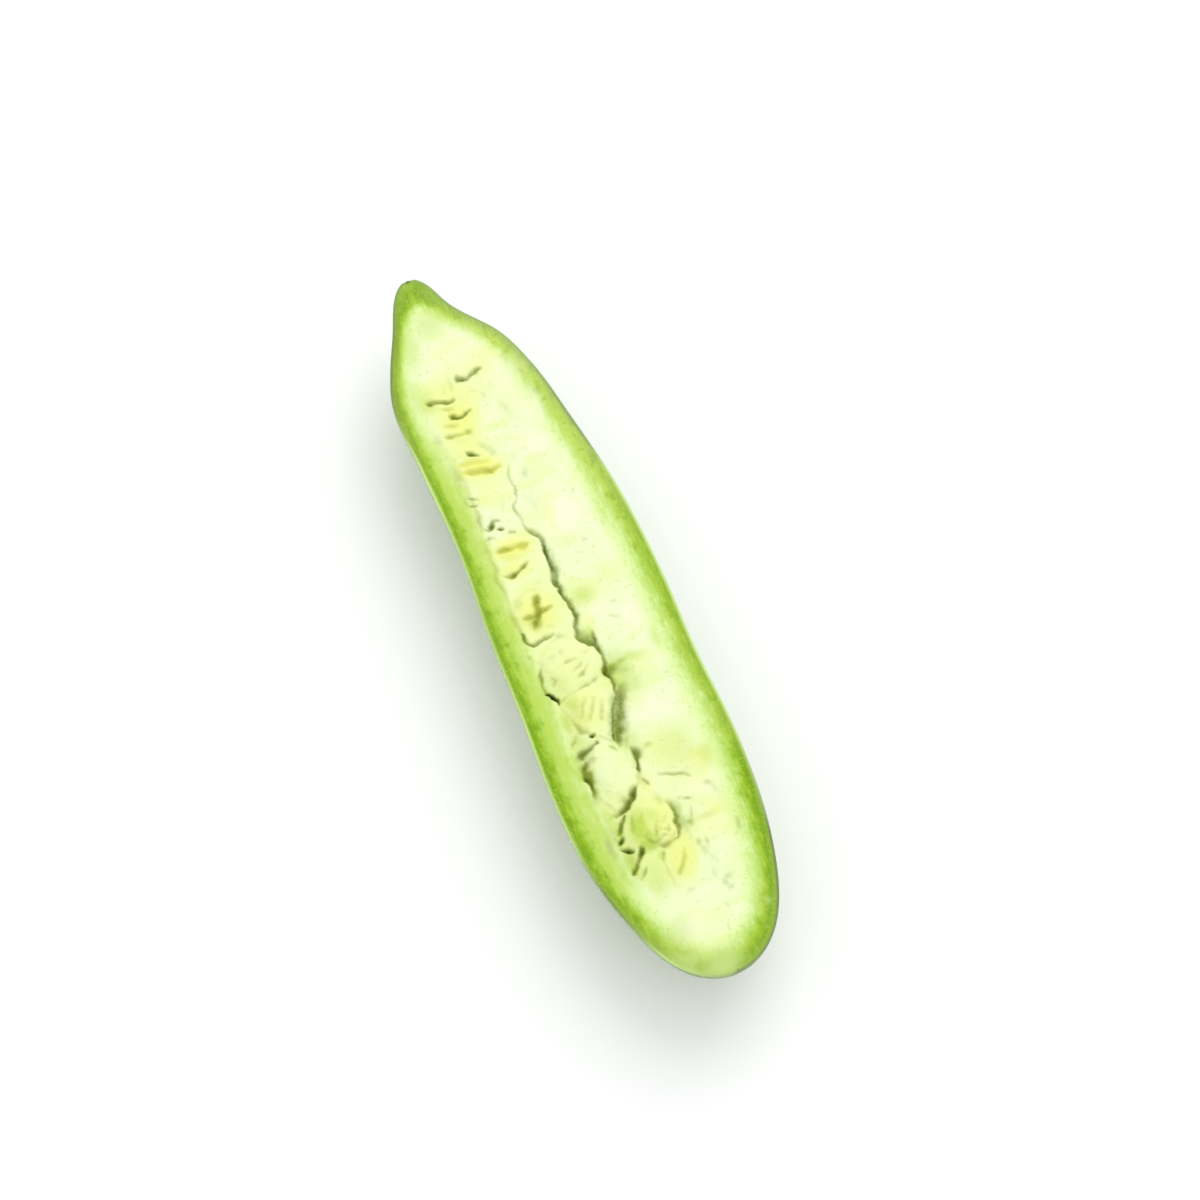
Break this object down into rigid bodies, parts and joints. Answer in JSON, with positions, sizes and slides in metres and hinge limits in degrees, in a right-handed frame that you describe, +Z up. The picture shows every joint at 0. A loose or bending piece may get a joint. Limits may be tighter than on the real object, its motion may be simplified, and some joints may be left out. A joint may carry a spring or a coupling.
{
  "type": "snake gourd half",
  "caption": "Short snake gourd cut lengthwise: a half fruit with speckled skin, green rind, pale flesh and a split, seeded core, lying on its rounded back.",
  "frame": {"origin": "on the table under the middle of the fruit", "axes": "+Z up, out of the cut face; +X along the fruit, from the stalk end to the blossom end"},
  "size_m": [0.242, 0.058, 0.0293],
  "materials": {
    "gourd": "moist pale green cut flesh with a green rind; speckled grey-green satin skin on the back",
    "skin": "thin waxy grey-green skin with pale flecks, which the dressed model shows as a piece of its own"
  },
  "bodies": {
    "root": {"snake_gourd_half": "gourd"}
  },
  "joints": []
}
